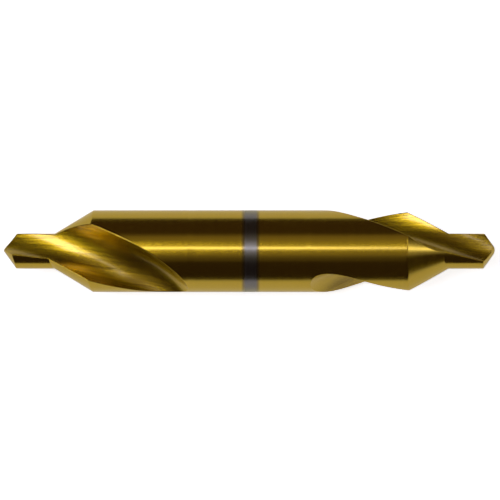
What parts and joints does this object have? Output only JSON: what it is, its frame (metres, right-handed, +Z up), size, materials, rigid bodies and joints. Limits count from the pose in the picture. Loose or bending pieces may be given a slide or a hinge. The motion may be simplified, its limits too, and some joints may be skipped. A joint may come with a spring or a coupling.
{
  "type": "centre drill",
  "caption": "Reversible centre drill: a plain round shank with a pilot point, a countersink and helical flutes ground on each end, under a gold-coloured coat.",
  "frame": {"origin": "on the tool's axis, midway between the two points", "axes": "+X along the tool's axis towards the end on the picture's right, +Z up, with the tool lying level as in the picture, +Y towards the picture's top"},
  "size_m": [0.0762, 0.0126, 0.0126],
  "materials": {
    "coated_steel": "ground high-speed steel under a thin gold-coloured nitride coat, with a bare steel band round the middle"
  },
  "bodies": {
    "root": {"centre_drill": "coated_steel"}
  },
  "joints": []
}
